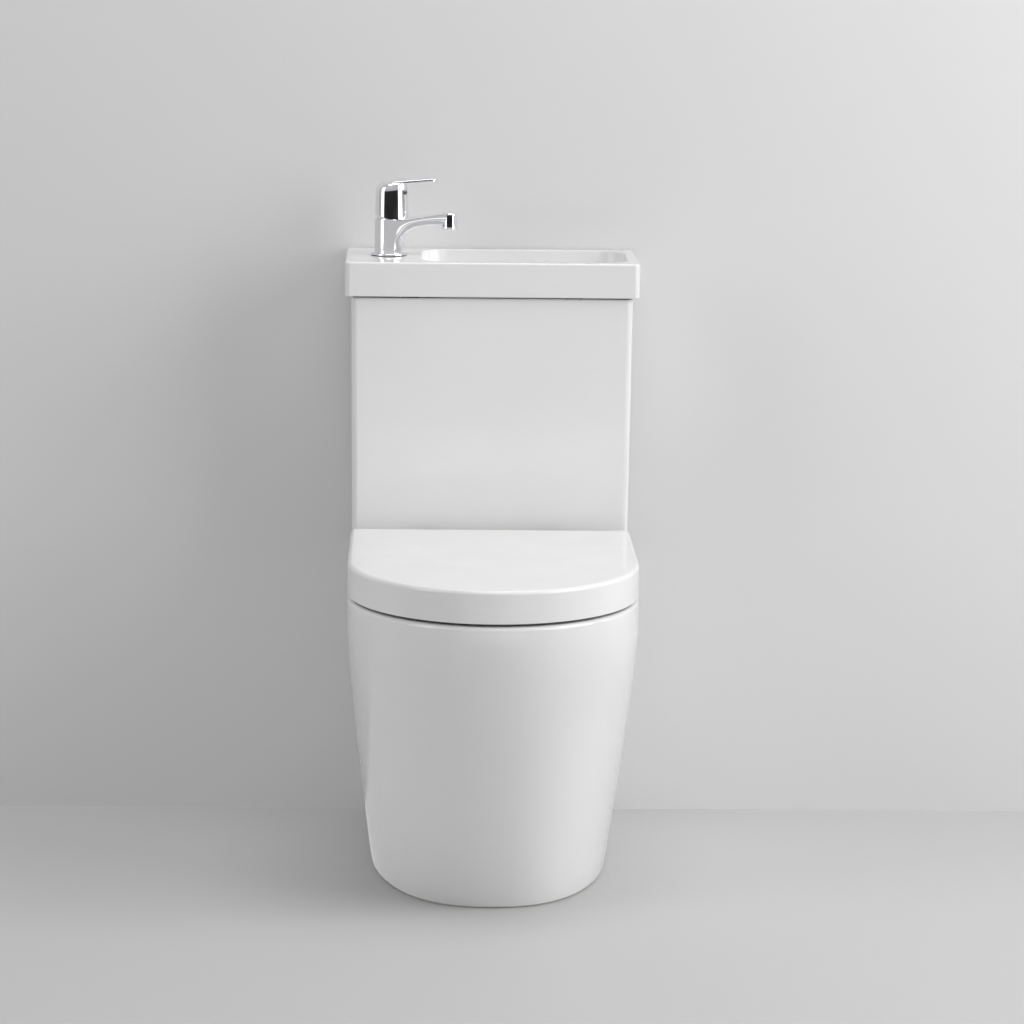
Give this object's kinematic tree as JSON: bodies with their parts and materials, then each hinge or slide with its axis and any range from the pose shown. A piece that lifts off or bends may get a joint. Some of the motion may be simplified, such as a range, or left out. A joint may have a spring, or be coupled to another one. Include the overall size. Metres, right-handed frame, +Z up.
{
  "type": "toilet with basin on the cistern",
  "caption": "Back-to-wall close-coupled toilet whose cistern carries a small wash basin with a single-lever tap, with a wrap-over seat lid.",
  "frame": {"origin": "on the floor, under the middle of the overall width and of the projection from the wall", "axes": "+Z up, +X to the right seen from the front, +Y towards the wall; the front of the pan faces -Y"},
  "size_m": [0.4, 0.671, 0.9086],
  "materials": {
    "ceramic": "white glaze, glossy",
    "seat_plastic": "white, glossy moulded plastic",
    "plastic": "satin white moulded plastic",
    "float_plastic": "satin blue-grey moulded plastic",
    "chrome": "polished chrome plate",
    "steel": "bright zinc or stainless",
    "brass": "plain turned brass",
    "rubber": "matt black rubber",
    "dot": "glossy dark grey"
  },
  "bodies": {
    "ceramics": {"pan": "ceramic", "cistern": "ceramic", "basin": "ceramic", "hinge_posts": "chrome", "hinge_pins": "steel", "hinge_covers": "chrome", "hinge_bolts": "steel", "hinge_washers": "rubber", "hinge_nuts": "plastic", "basin_pads": "rubber", "basin_waste": "chrome", "waste_seal": "rubber", "waste_back_nut": "brass", "waste_tail": "plastic", "tap_body": "chrome", "tap_base_ring": "chrome", "tap_base_seal": "rubber", "tap_cartridge": "plastic", "tap_dome_nut": "chrome", "tap_aerator": "chrome", "tap_stud": "brass", "tap_washer": "steel", "tap_nut": "brass", "coupling_gasket": "rubber", "cistern_bolts": "steel", "bolt_washers": "rubber", "wing_nuts": "brass", "flush_valve_body": "plastic", "flush_valve_washer": "rubber", "flush_valve_nut": "plastic", "overflow_tube": "plastic", "button_housing": "chrome", "button_nut": "plastic", "flush_cable": "rubber", "fill_valve": "plastic", "fill_washer": "rubber", "fill_nut": "plastic", "floor_brackets": "steel", "side_screws": "steel", "side_caps": "ceramic"},
    "seat": {"seat": "seat_plastic", "seat_buffers": "rubber"},
    "lid": {"lid": "seat_plastic", "lid_buffers": "rubber"},
    "tap_rotor": {"tap_rotor": "brass"},
    "tap_lever": {"tap_lever": "chrome", "tap_indicator": "dot"},
    "full_button": {"full_flush_button": "chrome"},
    "half_button": {"half_flush_button": "chrome"},
    "flush_lift": {"lift_tube": "plastic", "valve_seal": "rubber"},
    "float": {"fill_float": "float_plastic"}
  },
  "joints": [
    {"name": "seat_lift", "type": "hinge", "parent": "ceramics", "child": "seat", "pos_m": [0, 0.1055, 0.42], "axis": [1, 0, 0], "range_deg": [-92, 0]},
    {"name": "lid_lift", "type": "hinge", "parent": "seat", "child": "lid", "pos_m": [0, 0.1055, 0.42], "axis": [-1, 0, 0], "range_deg": [0, 92]},
    {"name": "tap_turn", "type": "hinge", "parent": "ceramics", "child": "tap_rotor", "pos_m": [-0.141, 0.2385, 0.857], "axis": [0, 0, 1], "range_deg": [-45, 45]},
    {"name": "tap_lift", "type": "hinge", "parent": "tap_rotor", "child": "tap_lever", "pos_m": [-0.141, 0.2385, 0.857], "axis": [0, -1, 0], "range_deg": [0, 20]},
    {"name": "full_flush_press", "type": "slide", "parent": "ceramics", "child": "full_button", "axis": [-1, 0, 0], "range_m": [0, 0.005], "stiffness_N_per_m": 500, "springref_m": -0.002},
    {"name": "half_flush_press", "type": "slide", "parent": "ceramics", "child": "half_button", "axis": [-1, 0, 0], "range_m": [0, 0.005], "stiffness_N_per_m": 500, "springref_m": -0.002},
    {"name": "flush_lift", "type": "slide", "parent": "ceramics", "child": "flush_lift", "axis": [0, 0, 1], "range_m": [0, 0.02]},
    {"name": "float_rise", "type": "slide", "parent": "ceramics", "child": "float", "axis": [0, 0, 1], "range_m": [0, 0.02]}
  ],
  "couplings": [
    {"joint": "flush_lift", "follows": "full_flush_press", "ratio": 4}
  ]
}
